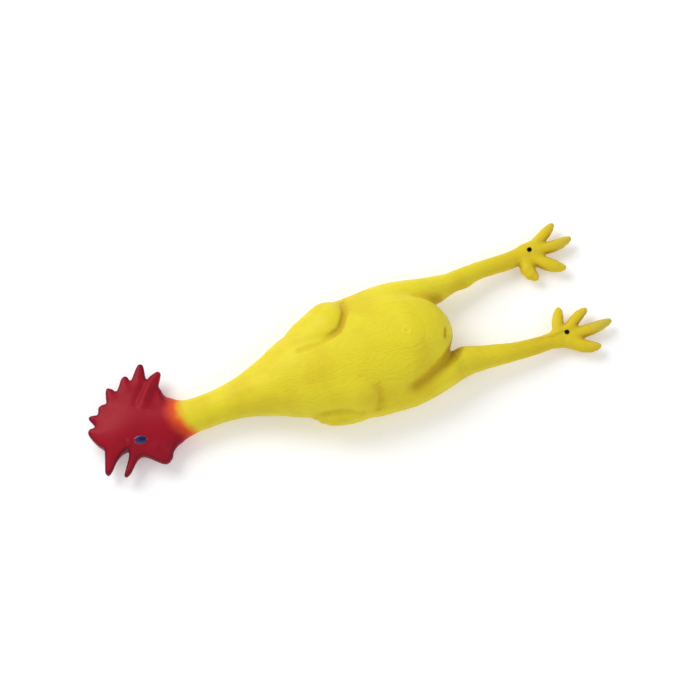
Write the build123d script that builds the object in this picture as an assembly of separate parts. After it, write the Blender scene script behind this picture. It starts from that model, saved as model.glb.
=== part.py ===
from build123d import *
import math
import os

os.makedirs("parts", exist_ok=True)

# A squeaking rubber chicken, 470 mm long, lying on its back with the belly up.
# Head towards -X, feet towards +X, the bird's left side towards +Y.
# The head is moulded in profile: its crown faces -X and +Y, its beak -Y.

# ------------------------------------------------------------------ driving dimensions (mm)
SKIN = 2.0             # latex wall
WADDING_GAP = 0.6      # room between the latex and the fibre filling
FLEX_PLAY = 0.8        # half the gap between two skin segments, on their common axis
FLEX_GAP = 0.35        # room at the sides of the thin skin that closes a flex groove
ROOT_GAP = 0.5         # room around the rolled root of the comb, the jaw and the wattle

# Sections across the body: (x, centre y, centre z, half width, half height)
TRUNK = [
    (-157, 4.0, 14.4, 17.4, 13.6),
    (-140, 3.4, 15.0, 15.1, 14.0),
    (-120, 3.1, 16.0, 15.1, 14.5),
    (-100, 3.2, 18.5, 17.5, 16.3),
    (-80, 2.2, 22.0, 23.7, 20.5),
    (-60, 1.6, 25.2, 32.1, 24.7),
    (-40, 0.6, 27.4, 40.2, 27.4),
    (-15, -0.5, 28.3, 48.5, 29.0),
    (15, -1.0, 28.6, 53.5, 29.8),
    (45, -1.0, 28.6, 55.5, 29.8),
    (65, -1.0, 28.5, 51.5, 28.6),
    (82, -0.8, 28.0, 40.0, 22.5),
    (92, -0.8, 28.0, 26.0, 14.0),
    (96.5, -0.8, 28.0, 13.0, 6.5),
]
LEGS = {
    "left": [
        (42, 34.0, 24.0, 16.0, 15.0),
        (60, 36.5, 24.5, 18.5, 18.0),
        (80, 35.5, 23.5, 16.3, 16.0),
        (100, 33.5, 21.0, 13.8, 13.2),
        (112, 36.2, 19.0, 9.7, 10.6),
        (126, 37.8, 17.0, 9.1, 9.3),
        (145, 39.4, 14.5, 7.8, 8.0),
        (165, 39.4, 12.0, 7.8, 7.6),
        (175, 39.8, 10.8, 7.8, 6.6),
        (181, 40.4, 10.0, 7.8, 5.4),
    ],
    "right": [
        (42, -34.0, 24.0, 17.0, 15.0),
        (60, -37.5, 24.5, 19.0, 18.0),
        (80, -36.2, 23.5, 16.8, 16.0),
        (100, -33.5, 21.0, 15.0, 13.4),
        (112, -36.0, 19.0, 11.7, 11.0),
        (126, -38.5, 17.0, 10.0, 9.6),
        (145, -41.2, 14.5, 8.4, 8.0),
        (165, -42.3, 12.0, 7.5, 7.6),
        (175, -42.2, 10.8, 7.4, 6.6),
        (181, -42.0, 10.0, 7.4, 5.4),
    ],
}
HEAD = [
    (-147, 3.6, 14.8, 16.2, 13.8),
    (-157, 4.0, 14.4, 18.4, 13.6),
    (-166, 6.0, 14.2, 21.5, 13.1),
    (-182, 5.5, 14.0, 22.0, 12.6),
    (-200, 2.5, 14.0, 18.5, 11.3),
    (-213, 4.0, 14.0, 11.5, 9.0),
    (-223, 4.5, 14.0, 7.0, 6.0),
    (-227, 5.0, 14.0, 4.0, 3.5),
]

# Flexing places: (x, y, z, reach of the groove, degrees to each side)
NECK_FLEX = {
    "neck_root": (-72, 2.0, 23.0, 40, 20),
    "neck_middle": (-103, 3.2, 18.2, 28, 28),
    "neck_top": (-130, 3.1, 15.4, 24, 30),
    "head_nod": (-152, 3.8, 14.6, 28, 24),
}
LEG_FLEX = {"hip": (104, 21, 20), "hock": (126, 14, 30), "ankle": (165, 12, 32)}
LEG_FLEX_HEIGHT = {"hip": 20.3, "hock": 17.0, "ankle": 12.0}
LEG_FLEX_SIDE = {
    "left": {"hip": 34.4, "hock": 37.8, "ankle": 39.4},
    "right": {"hip": -34.3, "hock": -38.5, "ankle": -42.3},
}

# Belly, pressed down to sound the squeaker
BELLY_CENTRE = (50, -1)
BELLY_RADII = (36, 30)
BELLY_GAP = 2.2
BELLY_FLOOR = 38
COLUMN_HEIGHT = 100    # tall enough to reach through the skin from any height inside
PATCH_CENTRE = (57.4, -0.8)
PATCH_RADIUS = 16
PATCH_GAP = 0.3
SOUND_HOLE_RADIUS = 1.6

# Squeaker behind the patch
BARREL_RADIUS = 13
BARREL_WALL = 1.2
BARREL_BOTTOM = 38
REED_TUBE_RADIUS = 4
REED_TUBE_LENGTH = 12
CUP_DEPTH = 14
LID_HOLE_RADIUS = 2
REED_WIDTH, REED_THICKNESS = 4, 0.3
REED_SLOT = 1.6        # width of the channel through the tube
REED_OFFSET = -0.5     # the reed lies to one side of the channel
REED_SHORT_BY = 2
WELL_RADIUS = 15
WELL_BOTTOM = 35

# Wings, folded on the sides: (centre, radii, roll about X)
WINGS = {
    "left": ((-13, 38, 40.0), (30, 20, 13), -38),
    "right": ((-17, -41.5, 37.5), (30, 20, 13), 42),
}

# Head details, all in the parting plane
PART_Z = 14
COMB_ROOT = ((-226, 11), (-163, 28.5))
COMB_THICKNESS = 7.0
COMB_OUTLINE = [
    (-163, 29), (-161, 38), (-156, 50), (-169, 48), (-171, 63.8), (-181, 53), (-188, 58.5),
    (-197, 48), (-205, 53.3), (-210, 40.5), (-218, 40), (-221, 34), (-229, 34.5), (-227, 25),
    (-234.8, 20), (-230, 12), (-226, 11),
]
UPPER_BEAK = [(-224, -1), (-228.5, -8), (-231.5, -19), (-229, -21.8), (-222, -16.5), (-213, -9)]
BEAK_THICKNESS = 6.5
JAW_PIVOT = (-203, -12)
LOWER_BEAK_TIP = (-215, -26.5)
BEAK_ROOT_RADIUS = 4.6
BEAK_TIP_RADIUS = 1.8
WATTLE_ROOT = ((-191, -15.5), (-165, -15.5))
WATTLE_LOBE = [(-172, -27), (-177.5, -26.5), (-182, -26)]
WATTLE_THICKNESS = 7.0
EYE_CENTRE = (-192, -5)
EYE_RADII = (6.2, 3.5, 2.6)
EYE_TILT = -10
EYE_DEPTH = 10.9       # centre of each eyeball, out from the parting plane
MOUTH = [(-203, -12), (-214, -3), (-225, -30), (-195, -35), (-193, -19)]
HEAD_HOLLOW_END = -227  # the hollow stops behind the beak's root
COMB_ROOM = 50         # the head leaves this much free outside the comb's root line
WATTLE_ROOM = 30
ROOM_LENGTH = 40       # how much longer than the root such a space is
ROOM_HEIGHT = 60

# Feet: toe tips, and the hang hole punched through each palm
FOOT_Z = 9
FOOT_THICKNESS = 9
PALM_RADIUS = 10.5
HOLE_RADIUS = 1.8
TOE_ROOT_RADIUS = 4.5
TOE_TIP_RADIUS = 2.4
FEET = {
    "left": {"hole": (190, 41.7), "toes": [(214, 55.6), (224.8, 39.3), (211.4, 19.3), (185.8, 16.8)]},
    "right": {"hole": (193.7, -40.7), "toes": [(194.3, -18.6), (214.8, -27.6), (232.6, -43), (214.3, -61.2)]},
}

BIG = 600


# ------------------------------------------------------------------ helpers
def section(x, y, z, half_width, half_height):
    """An upright ellipse across the X direction."""
    return Plane(origin=(x, y, z), x_dir=(0, 1, 0), z_dir=(1, 0, 0)) * Ellipse(half_width, half_height)


def lofted(stations, wall=0.0):
    """A smooth body through the stations, or its inside at the given wall."""
    return loft([section(x, y, z, w - wall, h - wall) for x, y, z, w, h in stations])


def above(z):
    """Everything above a height."""
    return Pos(0, 0, z + BIG / 2) * Box(BIG, BIG, BIG)


def flex_groove(x, y, z, reach, degrees, play=FLEX_PLAY):
    """The V groove round a flexing place, wide enough for a bend of the given angle."""
    flare = reach * math.tan(math.radians(degrees / 2))
    profile = make_face(Polyline((-play, 0), (play, 0), (play + flare, reach), (-play - flare, reach), close=True))
    return Pos(x, y, z) * revolve(profile, axis=Axis.X)


def between(body, low_x, high_x):
    """The solids of a cut body whose middles lie between two places along X."""
    kept = [s for s in body.solids() if low_x < s.center().X < high_x]
    return kept[0] if len(kept) == 1 else Compound(kept)


def tapered(start, start_radius, end, end_radius):
    """A round-ended tapering finger."""
    start, end = Vector(*start), Vector(*end)
    axis = end - start
    plane = Plane(origin=start, z_dir=axis)
    cone = Solid.make_cone(start_radius, end_radius, axis.length, plane)
    return Part() + cone + Pos(*start) * Sphere(start_radius) + Pos(*end) * Sphere(end_radius)


def rod(start, end, radius):
    """A round rod between two points."""
    start, end = Vector(*start), Vector(*end)
    axis = end - start
    return Solid.make_cylinder(radius, axis.length, Plane(origin=start, z_dir=axis))


def slab(points, thickness, z):
    """A flat plate with the outline of the points, centred on a height."""
    face = make_face(Polyline(*points, close=True))
    return Pos(0, 0, z - thickness / 2) * extrude(face, thickness)


def oval_column(centre, radii, low_z):
    """An upright column of oval section, from a height upwards."""
    return Pos(*centre, low_z) * extrude(Ellipse(*radii), COLUMN_HEIGHT)


def save(solid, name):
    export_step(solid, f"parts/{name}.step")


# ------------------------------------------------------------------ trunk: torso and neck
grooves = {name: flex_groove(*place) for name, place in NECK_FLEX.items()}
leg_places = {
    (side, joint): (x, LEG_FLEX_SIDE[side][joint], LEG_FLEX_HEIGHT[joint], reach, degrees)
    for side in ("left", "right")
    for joint, (x, reach, degrees) in LEG_FLEX.items()
}
leg_grooves = {key: flex_groove(*place) for key, place in leg_places.items()}

trunk_outside = lofted(TRUNK) & above(0)
tail_x = TRUNK[-1][0]
trunk_hollow = [station for station in TRUNK if station[0] < tail_x]
trunk_inside = lofted(trunk_hollow, SKIN) & above(SKIN)
trunk_filling = lofted(trunk_hollow, SKIN + WADDING_GAP) & above(SKIN + WADDING_GAP)

legs_outside = {side: lofted(LEGS[side]) for side in LEGS}
legs_inside = {side: lofted(LEGS[side][:-1], SKIN) for side in LEGS}
legs_filling = {side: lofted(LEGS[side][:-1], SKIN + WADDING_GAP) for side in LEGS}

neck_grooves = Part() + list(grooves.values())
neck_tube = (trunk_outside - trunk_inside) - neck_grooves
neck_core = trunk_filling - neck_grooves
neck_bounds = {
    "neck_upper": (NECK_FLEX["head_nod"][0], NECK_FLEX["neck_top"][0]),
    "neck_middle": (NECK_FLEX["neck_top"][0], NECK_FLEX["neck_middle"][0]),
    "neck_lower": (NECK_FLEX["neck_middle"][0], NECK_FLEX["neck_root"][0]),
}
for name, (low_x, high_x) in neck_bounds.items():
    save(between(neck_tube, low_x, high_x), f"{name}_skin")
    save(between(neck_core, low_x, high_x), f"{name}_wadding")

for name in ("neck_root", "neck_middle", "neck_top"):
    thin = flex_groove(*NECK_FLEX[name], FLEX_PLAY - FLEX_GAP)
    save((trunk_outside - trunk_inside) & thin, f"{name}_flex")

# Torso: the trunk behind the neck root, fused with the roots of both legs
torso_outside = trunk_outside + legs_outside["left"] + legs_outside["right"]
torso_inside = trunk_inside + legs_inside["left"] + legs_inside["right"]
torso_filling = trunk_filling + legs_filling["left"] + legs_filling["right"]
hip_grooves = leg_grooves["left", "hip"] + leg_grooves["right", "hip"]
torso_cuts = grooves["neck_root"] + hip_grooves
torso_span = (NECK_FLEX["neck_root"][0], LEG_FLEX["hip"][0])
torso_shell = between((torso_outside - torso_inside) - torso_cuts, *torso_span)
torso_core = between(torso_filling - torso_cuts, *torso_span)

belly_column = oval_column(BELLY_CENTRE, BELLY_RADII, BELLY_FLOOR)
belly_opening = oval_column(BELLY_CENTRE, [r + BELLY_GAP for r in BELLY_RADII], BELLY_FLOOR)
belly_ring = belly_opening - oval_column(BELLY_CENTRE, [r + FLEX_GAP for r in BELLY_RADII], BELLY_FLOOR)
patch_column = oval_column(PATCH_CENTRE, (PATCH_RADIUS, PATCH_RADIUS), BELLY_FLOOR)
patch_opening = oval_column(PATCH_CENTRE, [PATCH_RADIUS + PATCH_GAP] * 2, BELLY_FLOOR)
sound_hole = oval_column(PATCH_CENTRE, [SOUND_HOLE_RADIUS] * 2, BELLY_FLOOR)
well = oval_column(PATCH_CENTRE, [WELL_RADIUS] * 2, WELL_BOTTOM)

save(torso_shell - belly_opening, "torso_skin")
save(torso_core - well, "torso_wadding")
save((torso_shell & belly_column) - patch_opening, "belly_skin")
save(torso_shell & belly_ring, "belly_flex")
save((torso_shell & patch_column) - sound_hole, "closing_patch")

# Squeaker: a cup glued behind the patch, a lid below it, and a reed in a tube
under_patch = trunk_inside & oval_column(PATCH_CENTRE, [BARREL_RADIUS] * 2, BARREL_BOTTOM)
cup_top = BARREL_BOTTOM + CUP_DEPTH
tube_place = Pos(*PATCH_CENTRE, cup_top - REED_TUBE_LENGTH)
cup_hollow = Pos(*PATCH_CENTRE, BARREL_BOTTOM) * extrude(Circle(BARREL_RADIUS - BARREL_WALL), CUP_DEPTH)
tube_seat = oval_column(PATCH_CENTRE, [REED_TUBE_RADIUS] * 2, BARREL_BOTTOM)
save(under_patch - cup_hollow - tube_seat, "squeaker_barrel")

lid = extrude(Circle(BARREL_RADIUS - BARREL_WALL) - Circle(LID_HOLE_RADIUS), BARREL_WALL)
save(Pos(*PATCH_CENTRE, BARREL_BOTTOM) * lid, "squeaker_lid")

reed_channel = Box(REED_WIDTH, REED_SLOT, REED_TUBE_LENGTH * 2)
reed_tube = extrude(Circle(REED_TUBE_RADIUS), REED_TUBE_LENGTH) - reed_channel
save(tube_place * reed_tube, "squeaker_reed_tube")
reed = Box(REED_WIDTH, REED_THICKNESS, REED_TUBE_LENGTH - REED_SHORT_BY)
reed = Pos(0, REED_OFFSET, REED_TUBE_LENGTH / 2) * reed
save(tube_place * reed, "squeaker_reed")

# Wings: lobes that stand proud of the torso
for side, (centre, radii, roll) in WINGS.items():
    lobe = Pos(*centre) * Rot(roll, 0, 0) * scale(Sphere(1), by=radii)
    wing = lobe - torso_outside
    save(max(wing.solids(), key=lambda s: s.volume), f"{side}_wing")


# ------------------------------------------------------------------ legs
def foot(side):
    """The foot beyond the ankle: palm, four toes and the hang hole."""
    hole_x, hole_y = FEET[side]["hole"]
    palm = Pos(hole_x, hole_y, FOOT_Z) * Cylinder(PALM_RADIUS, FOOT_THICKNESS)
    ankle_end = legs_outside[side] - leg_grooves[side, "ankle"]
    foot_body = Part() + palm + between(ankle_end, LEG_FLEX["ankle"][0], BIG)
    for toe_x, toe_y in FEET[side]["toes"]:
        foot_body += tapered((hole_x, hole_y, FOOT_Z), TOE_ROOT_RADIUS, (toe_x, toe_y, FOOT_Z), TOE_TIP_RADIUS)
    return foot_body - Pos(hole_x, hole_y, FOOT_Z) * Cylinder(HOLE_RADIUS, BIG / 10)


for side in ("left", "right"):
    side_grooves = Part() + [leg_grooves[side, joint] for joint in LEG_FLEX]
    leg_tube = legs_outside[side] - legs_inside[side] - side_grooves
    leg_core = legs_filling[side] - side_grooves
    hip_x, hock_x, ankle_x = (LEG_FLEX[joint][0] for joint in ("hip", "hock", "ankle"))
    for name, low_x, high_x in (("thigh", hip_x, hock_x), ("shank", hock_x, ankle_x)):
        save(between(leg_tube, low_x, high_x), f"{side}_{name}_skin")
        save(between(leg_core, low_x, high_x), f"{side}_{name}_wadding")
    for joint in LEG_FLEX:
        thin = flex_groove(*leg_places[side, joint], FLEX_PLAY - FLEX_GAP)
        save((legs_outside[side] - legs_inside[side]) & thin, f"{side}_{joint}_flex")
    save(foot(side), f"{side}_foot")


# ------------------------------------------------------------------ head
def root_rod(root, radius):
    """The rolled root that a thin lobe swings on."""
    (x0, y0), (x1, y1) = root
    return rod((x0, y0, PART_Z), (x1, y1, PART_Z), radius)


def outside_line(root, depth):
    """A block on the outer side of a root line, which the head leaves free for the lobe."""
    (x0, y0), (x1, y1) = root
    along = Vector(x1 - x0, y1 - y0, 0)
    outward = Vector(y0 - y1, x1 - x0, 0).normalized()
    plane = Plane(origin=((x0 + x1) / 2, (y0 + y1) / 2, PART_Z), x_dir=along, z_dir=(0, 0, 1))
    offset = depth / 2 if plane.y_dir.dot(outward) > 0 else -depth / 2
    return plane * (Pos(0, offset, 0) * Box(along.length + ROOM_LENGTH, depth, ROOM_HEIGHT))


head_outside = lofted(HEAD)
head_inside = lofted([s for s in HEAD if s[0] > HEAD_HOLLOW_END], SKIN)
head_tube = (head_outside - head_inside) - grooves["head_nod"]
head_shell = between(head_tube, -BIG, NECK_FLEX["head_nod"][0])

comb_radius = COMB_THICKNESS / 2
wattle_radius = WATTLE_THICKNESS / 2
wattle_line = (WATTLE_ROOT[1], WATTLE_ROOT[0])
jaw_axis = Pos(*JAW_PIVOT, PART_Z) * Cylinder(BEAK_ROOT_RADIUS + ROOT_GAP, ROOM_HEIGHT)
mouth_room = slab(MOUTH, ROOM_HEIGHT, PART_Z)

head_cuts = outside_line(COMB_ROOT, COMB_ROOM) + root_rod(COMB_ROOT, comb_radius + ROOT_GAP)
head_cuts += outside_line(wattle_line, WATTLE_ROOM) + root_rod(WATTLE_ROOT, wattle_radius + ROOT_GAP)
head_cuts += jaw_axis + mouth_room
head_parts = (head_shell - head_cuts).solids()
head_skin = max(head_parts, key=lambda s: s.volume)
save(head_skin, "head_skin")

thin = flex_groove(*NECK_FLEX["head_nod"], FLEX_PLAY - FLEX_GAP)
save((trunk_outside - trunk_inside) & thin, "head_nod_flex")

comb = slab(COMB_OUTLINE, COMB_THICKNESS, PART_Z) + root_rod(COMB_ROOT, comb_radius)
save(comb, "comb")

upper_beak = slab(UPPER_BEAK, BEAK_THICKNESS, PART_Z) - head_outside
save(max(upper_beak.solids(), key=lambda s: s.volume), "upper_beak")

lower_start = (*JAW_PIVOT, PART_Z)
lower_end = (*LOWER_BEAK_TIP, PART_Z - 1)
lower_beak = tapered(lower_start, BEAK_ROOT_RADIUS, lower_end, BEAK_TIP_RADIUS)
save(lower_beak, "lower_beak")

(wattle_x0, wattle_y), (wattle_x1, _) = WATTLE_ROOT
wattle_outline = [(wattle_x0, wattle_y), (wattle_x1, wattle_y), *WATTLE_LOBE]
wattle = slab(wattle_outline, WATTLE_THICKNESS, PART_Z) + root_rod(WATTLE_ROOT, wattle_radius)
save(wattle, "wattle")

for side, up in (("left", 1), ("right", -1)):
    z = PART_Z + up * EYE_DEPTH
    eye = Pos(*EYE_CENTRE, z) * Rot(0, 0, EYE_TILT) * scale(Sphere(1), by=EYE_RADII)
    eye -= head_outside
    save(max(eye.solids(), key=lambda s: s.volume), f"{side}_eye")
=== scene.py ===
# %% [markdown]
# # A rubber chicken
# The toy is one hollow casting of soft latex, lying on its back. Its movable zones and its squeaker are already
# known from the CAD model, so the lesson starts by loading that model. Everything built here sits in the same
# place, in metres, and takes the CAD model's place one zone at a time.

# %% Load the CAD model
import math

import bpy
import numpy as np
from mathutils import Matrix, Vector


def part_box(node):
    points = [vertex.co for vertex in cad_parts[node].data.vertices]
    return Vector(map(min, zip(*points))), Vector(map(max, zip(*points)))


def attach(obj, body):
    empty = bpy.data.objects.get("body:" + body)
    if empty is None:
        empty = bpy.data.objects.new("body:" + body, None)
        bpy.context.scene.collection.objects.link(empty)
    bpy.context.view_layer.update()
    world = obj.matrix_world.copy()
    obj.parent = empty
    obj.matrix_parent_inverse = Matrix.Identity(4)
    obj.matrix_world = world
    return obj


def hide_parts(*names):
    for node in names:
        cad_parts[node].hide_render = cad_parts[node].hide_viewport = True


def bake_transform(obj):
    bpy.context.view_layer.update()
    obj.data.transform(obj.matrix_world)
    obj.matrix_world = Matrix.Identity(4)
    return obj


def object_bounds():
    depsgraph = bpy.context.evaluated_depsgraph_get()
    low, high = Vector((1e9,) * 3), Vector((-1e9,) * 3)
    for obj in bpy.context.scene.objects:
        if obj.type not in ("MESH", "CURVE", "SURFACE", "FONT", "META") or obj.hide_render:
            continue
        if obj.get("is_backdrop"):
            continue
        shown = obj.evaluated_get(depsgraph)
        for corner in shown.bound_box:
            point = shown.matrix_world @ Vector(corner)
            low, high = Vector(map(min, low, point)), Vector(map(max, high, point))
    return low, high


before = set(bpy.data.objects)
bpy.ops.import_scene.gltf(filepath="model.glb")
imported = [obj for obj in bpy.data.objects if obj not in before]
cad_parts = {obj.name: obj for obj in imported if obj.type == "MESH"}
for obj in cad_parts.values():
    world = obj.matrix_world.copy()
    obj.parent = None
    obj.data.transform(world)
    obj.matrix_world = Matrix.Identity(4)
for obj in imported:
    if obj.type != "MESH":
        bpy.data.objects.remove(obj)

cad_low, cad_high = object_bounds()
MM = 0.001
scene = bpy.context.scene
print("CAD box, mm:", [round((b - a) / MM, 1) for a, b in zip(cad_low, cad_high)])

# %% [markdown]
# ## Camera, floor and light
# A long lens from far away keeps the toy's proportions true, as a catalogue picture does. The camera looks steeply
# down and a little from one side. The floor is a plain pale sheet, and three big soft lamps stand round it: wide
# lamps give the broad, blurred highlights that show latex as satin and not as glass.

# %% Camera
AZIMUTH, ELEVATION = math.radians(-20.5), math.radians(75)
LENS_MM, SENSOR_MM = 200, 36
VIEW_WIDTH = 0.618                 # metres that the picture is wide
LOOK_AT = Vector((0.0083, 0.0111, 0.015))
back = Vector((math.sin(AZIMUTH) * math.cos(ELEVATION), -math.cos(AZIMUTH) * math.cos(ELEVATION),
               math.sin(ELEVATION)))

lens = bpy.data.cameras.new("camera")
lens.lens, lens.sensor_width, lens.clip_end = LENS_MM, SENSOR_MM, 20
camera = bpy.data.objects.new("camera", lens)
scene.collection.objects.link(camera)
camera.location = LOOK_AT + back * VIEW_WIDTH * LENS_MM / SENSOR_MM
camera.rotation_euler = back.to_track_quat("Z", "Y").to_euler()
scene.camera = camera
print("camera stands", round((camera.location - LOOK_AT).length, 2), "m away")

# %% A helper for materials
def finish(name):
    """A new material and its main shader."""
    material = bpy.data.materials.new(name)
    material.use_nodes = True
    return material, material.node_tree.nodes["Principled BSDF"]


def node(material, kind, inputs=None, **settings):
    """Adds a node. Each input is a plain value, or the output socket of another node."""
    new = material.node_tree.nodes.new("ShaderNode" + kind)
    for key, value in settings.items():
        setattr(new, key, value)
    for key, value in (inputs or {}).items():
        if isinstance(value, bpy.types.NodeSocket):
            material.node_tree.links.new(value, new.inputs[key])
        else:
            new.inputs[key].default_value = value
    return new


def tint(red, green, blue):
    """A colour as a painter names it, 0 to 255, as the linear light that a shader wants."""
    return (*[(c / 255 / 12.92 if c <= 10 else ((c / 255 + 0.055) / 1.055) ** 2.4) for c in (red, green, blue)], 1)

# %% Floor and lamps
FLOOR_SIZE, FLOOR_GAP = 8.0, 0.0002
SKY_COLOUR, SKY_STRENGTH = (0.97, 0.98, 1, 1), 0.42
paper, paper_shader = finish("floor_paper")
grain = node(paper, "TexNoise", {"Scale": 40.0, "Detail": 3.0})
fleck = node(paper, "MapRange", {"Value": grain.outputs["Fac"], "To Min": 0.90, "To Max": 0.92}).outputs[0]
paper_tone = node(paper, "CombineColor", {"Red": fleck, "Green": fleck, "Blue": fleck})
paper.node_tree.links.new(paper_tone.outputs[0], paper_shader.inputs["Base Color"])
paper_shader.inputs["Roughness"].default_value = 0.9
paper_shader.inputs["Emission Color"].default_value = (1, 1, 1, 1)
paper_shader.inputs["Emission Strength"].default_value = 0.22

bpy.ops.mesh.primitive_plane_add(size=FLOOR_SIZE, location=(0, 0, cad_low[2] - FLOOR_GAP))
floor = bpy.context.object
floor.name = "floor"
floor.data.materials.append(paper)
floor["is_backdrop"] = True

LAMPS = {   # place and size in metres, and power in watts
    "key_lamp": ((-0.9, 1.6, 1.6), 1.7, 44),
    "right_fill": ((1.8, -1.0, 1.2), 2.2, 15),
    "left_fill": ((-1.4, -1.6, 1.2), 2.2, 10),
}
for name, (place, size, power) in LAMPS.items():
    lamp = bpy.data.lights.new(name, "AREA")
    lamp.energy, lamp.size = power, size
    stand = bpy.data.objects.new(name, lamp)
    scene.collection.objects.link(stand)
    stand.location = place
    stand.rotation_euler = Vector(place).to_track_quat("Z", "Y").to_euler()
sky = bpy.data.worlds.new("studio")
sky.use_nodes = True
sky.node_tree.nodes["Background"].inputs["Color"].default_value = SKY_COLOUR
sky.node_tree.nodes["Background"].inputs["Strength"].default_value = SKY_STRENGTH
scene.world = sky
scene.view_settings.view_transform = "Standard"
print("lamps:", ", ".join(LAMPS))

# %% [markdown]
# ## Shaping by distance
# A latex toy has no edges: every lobe runs into the next with a fillet. Boxes and subdivision would need a lot of
# handwork there, and Blender's metaballs can't make flat fins. So the shape is kept as a block of numbers, each the
# distance from that spot to the skin, negative inside. To join two shapes with a fillet is then one line of
# arithmetic. Sculptors call such a block digital clay.

# %% Clay
OPEN = 30.0         # what an empty cell holds
AROUND = 15         # distances are kept this far out from each added shape, in mm
CARVE_EDGE = 2      # and this far out from each carved one, past its fillet
FLATTEST = 0.3      # a slope flatter than this would throw a point far off


def smooth_min(a, b, blend):
    """The nearer of two surfaces, with a fillet of the given size where they meet."""
    if blend <= 0:
        return np.minimum(a, b)
    overlap = np.maximum(blend - np.abs(a - b), 0) / blend
    return np.minimum(a, b) - overlap ** 2 * blend / 4


class Clay:
    """A block of space in millimetres that holds the distance to the skin."""

    def __init__(self, low, high, cell):
        self.cell, self.low = cell, np.array(low, float)
        self.ticks = [np.arange(a, b + cell, cell, dtype=np.float32) for a, b in zip(low, high)]
        self.field = np.full([len(t) for t in self.ticks], OPEN, np.float32)

    def window(self, low, high):
        spans = []
        for tick, a, b in zip(self.ticks, low, high):
            first, last = np.searchsorted(tick, (a, b))
            spans.append(slice(max(first - 1, 0), min(last + 1, len(tick))))
        return tuple(spans), np.ix_(*[tick[span] for tick, span in zip(self.ticks, spans)])

    def add(self, shape, blend=0.0):
        low, high, distance = shape
        spans, (x, y, z) = self.window(low - AROUND, high + AROUND)
        self.field[spans] = smooth_min(self.field[spans], distance(x, y, z), blend)

    def carve(self, shape, blend=0.0):
        low, high, distance = shape
        spans, (x, y, z) = self.window(low - blend - CARVE_EDGE, high + blend + CARVE_EDGE)
        self.field[spans] = -smooth_min(-self.field[spans], distance(x, y, z), blend)

    def press(self, path, width, depth):
        """A soft crease along a path, or a soft ridge where the depth is negative."""
        spans, (x, y, z) = self.window(path.min(0) - 3 * width, path.max(0) + 3 * width)
        nearest = OPEN
        for a, b in zip(path[:-1], path[1:]):
            nearest = np.minimum(nearest, to_segment(x, y, z, a, b)[0])
        self.field[spans] += depth * np.exp(-(nearest / width) ** 2)

    def at(self, points):
        """The distance at any points, and the way out from there."""
        spot = (points - self.low) / self.cell
        base = np.clip(np.floor(spot).astype(int), 0, np.array(self.field.shape) - 2)
        part = np.clip(spot - base, 0, 1)
        value, slope = np.zeros(len(points)), np.zeros((len(points), 3))
        for corner in np.ndindex(2, 2, 2):
            held = self.field[tuple((base + corner).T)]
            share = np.where(corner, part, 1 - part)
            value += held * share.prod(1)
            for axis in range(3):
                rest = [k for k in range(3) if k != axis]
                slope[:, axis] += (1 if corner[axis] else -1) * held * share[:, rest].prod(1)
        return value, slope / self.cell

    def settle(self, points, rounds, longest):
        """Slides points onto the skin, by no more than the longest step in each round."""
        for _ in range(rounds):
            value, slope = self.at(points)
            steepness = np.maximum((slope ** 2).sum(1), FLATTEST)[:, None]
            points -= np.clip(value, -longest, longest)[:, None] * slope / steepness
        return points

    def laid(self, path, step=3.0):
        """A path through a few points, filled in and dropped onto the skin."""
        path = np.array(path, float)
        runs = [a + (b - a) * t for a, b in zip(path[:-1], path[1:])
                for t in np.linspace(0, 1, max(int(np.linalg.norm(b - a) / step), 1), endpoint=False)[:, None]]
        return self.settle(np.vstack(runs + [path[-1]]), 4, 4)

# %% [markdown]
# ## Shapes to model with
# Five shapes make the whole bird. A tube runs through upright ovals and makes the trunk and legs. A limb is a bent
# bar and makes toes. A lobe is a flattened teardrop for a wing, an ellipsoid fills out the skull and the palms, and
# a plate is a fin with a rounded rim, for the comb and beak. A last helper trims the clay to an outline.

# %% Bars and ellipsoids
def to_segment(x, y, z, a, b):
    """Distance from every cell to a straight stretch, and how far along it the nearest point is."""
    run = np.asarray(b, float) - np.asarray(a, float)
    along = ((x - a[0]) * run[0] + (y - a[1]) * run[1] + (z - a[2]) * run[2]) / (run @ run)
    along = np.clip(along, 0, 1)
    gap = np.sqrt((x - a[0] - along * run[0]) ** 2 + (y - a[1] - along * run[1]) ** 2
                  + (z - a[2] - along * run[2]) ** 2)
    return gap, along


def ellipsoid(centre, radii):
    centre, radii = np.array(centre, float), np.array(radii, float)

    def distance(x, y, z):
        u, v, w = x - centre[0], y - centre[1], z - centre[2]
        k0 = np.sqrt((u / radii[0]) ** 2 + (v / radii[1]) ** 2 + (w / radii[2]) ** 2)
        k1 = np.sqrt((u / radii[0] ** 2) ** 2 + (v / radii[1] ** 2) ** 2 + (w / radii[2] ** 2) ** 2)
        return k0 * (k0 - 1) / np.maximum(k1, 1e-6)
    return centre - radii.max(), centre + radii.max(), distance


def limb(points, radii):
    """A round bar through several points, with its own radius at each."""
    points = np.array(points, float)

    def distance(x, y, z):
        nearest = OPEN
        for a, b, ra, rb in zip(points[:-1], points[1:], radii[:-1], radii[1:]):
            gap, along = to_segment(x, y, z, a, b)
            nearest = np.minimum(nearest, gap - (ra + (rb - ra) * along))
        return nearest
    return points.min(0) - max(radii), points.max(0) + max(radii), distance


def finger(start, start_radius, end, end_radius):
    return limb([start, end], [start_radius, end_radius])


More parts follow.
